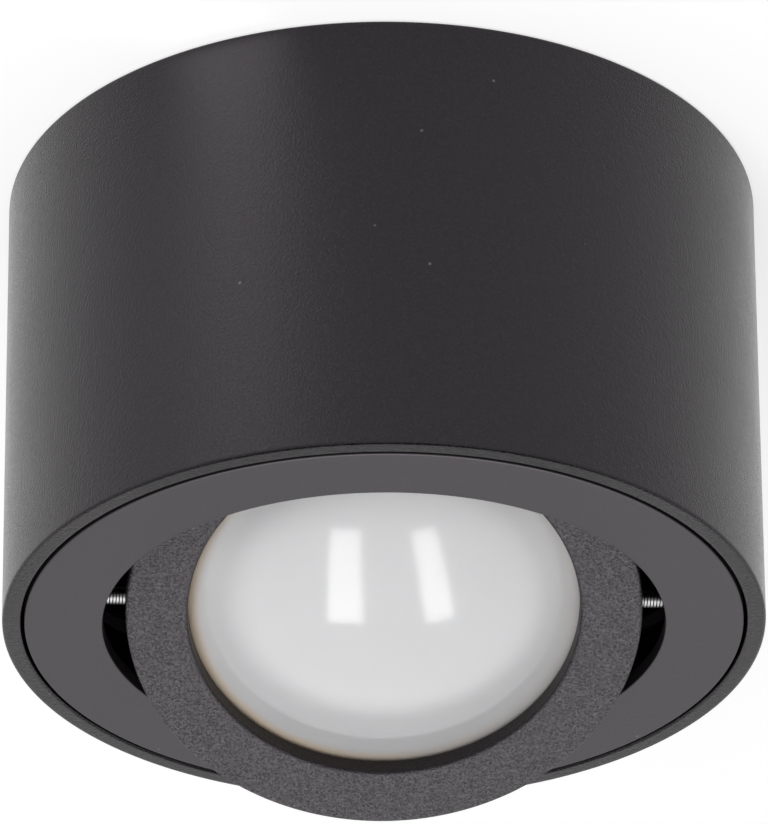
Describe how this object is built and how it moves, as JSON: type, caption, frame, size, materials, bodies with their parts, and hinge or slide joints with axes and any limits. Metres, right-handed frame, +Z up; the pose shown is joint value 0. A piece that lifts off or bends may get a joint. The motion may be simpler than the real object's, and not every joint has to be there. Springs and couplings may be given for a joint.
{
  "type": "surface mounted ceiling spotlight",
  "caption": "Round ceiling spotlight housing with a flush front plate that turns, and in it a ring on two pivot screws that tilts a domed twist-lock lamp.",
  "frame": {"origin": "middle of the housing's face against the ceiling, on the housing's axis", "axes": "+Z points up into the ceiling, the light hangs towards -Z; X runs along the head's pivot axis; the head is stored tilted 27 degrees, so its lamp looks down and towards -Y"},
  "size_m": [0.12, 0.12, 0.092],
  "materials": {
    "anthracite_powder": "fine textured powder coat",
    "zinc_steel": "bright zinc plated",
    "spring_steel": "rolled spring steel",
    "brass": "bright",
    "nickel_brass": "nickel plated",
    "rubber": "matt black",
    "white_plastic": "moulded, heat resistant",
    "grey_plastic": "moulded, heat resistant",
    "lamp_plastic": "moulded",
    "opal_plastic": "opal, satin",
    "aluminium": "stamped",
    "white_board": "white solder mask",
    "green_board": "green solder mask",
    "yellow_chip": "phosphor",
    "black_component": "moulded",
    "sleeve_glass_fibre": "woven glass sleeving",
    "insulation_green_yellow": "soft insulation",
    "insulation_blue": "soft insulation",
    "insulation_brown": "soft insulation"
  },
  "bodies": {
    "housing": {"housing_tube": "anthracite_powder", "back_plate": "zinc_steel", "back_plate_screws": "zinc_steel", "cable_grommet": "rubber", "terminal_block": "white_plastic", "terminal_barrels": "brass", "terminal_clamp_screws": "zinc_steel", "terminal_block_screws": "zinc_steel", "earth_lug": "nickel_brass", "earth_washer": "zinc_steel", "earth_screw": "brass", "earth_wire": "insulation_green_yellow", "neutral_supply_lead": "insulation_blue", "live_supply_lead": "insulation_brown"},
    "trim": {"front_plate": "anthracite_powder", "plate_springs": "spring_steel", "plate_spring_screws": "zinc_steel", "pivot_screws": "zinc_steel", "pivot_lock_nuts": "zinc_steel", "lead_sleeve": "sleeve_glass_fibre"},
    "head": {"tilt_ring": "anthracite_powder", "lamp_retaining_clip": "spring_steel", "lampholder_body": "grey_plastic", "lampholder_cover": "grey_plastic", "lampholder_contacts": "brass", "lampholder_screws": "zinc_steel", "neutral_lamp_lead": "insulation_blue", "live_lamp_lead": "insulation_brown"},
    "lamp": {"lamp_diffuser": "opal_plastic", "lamp_body": "lamp_plastic", "lamp_pins": "nickel_brass", "heat_spreader": "aluminium", "led_board": "white_board", "led_chips": "yellow_chip", "driver_board": "green_board", "driver_parts": "black_component"}
  },
  "joints": [
    {"name": "front_plate_turn", "type": "hinge", "parent": "housing", "child": "trim", "pos_m": [0, 0, -0.07375], "axis": [0, 0, 1], "range_deg": [-175, 175], "deforming": ["neutral_supply_lead", "live_supply_lead"]},
    {"name": "head_tilt", "type": "hinge", "parent": "trim", "child": "head", "pos_m": [0, 0, -0.0695], "axis": [1, 0, 0], "range_deg": [-3, 57], "deforming": ["neutral_lamp_lead", "live_lamp_lead"]},
    {"name": "lamp_twist", "type": "hinge", "parent": "head", "child": "lamp", "pos_m": [0, 0, -0.0695], "axis": [0, 0.454, 0.891], "range_deg": [0, 20]}
  ]
}
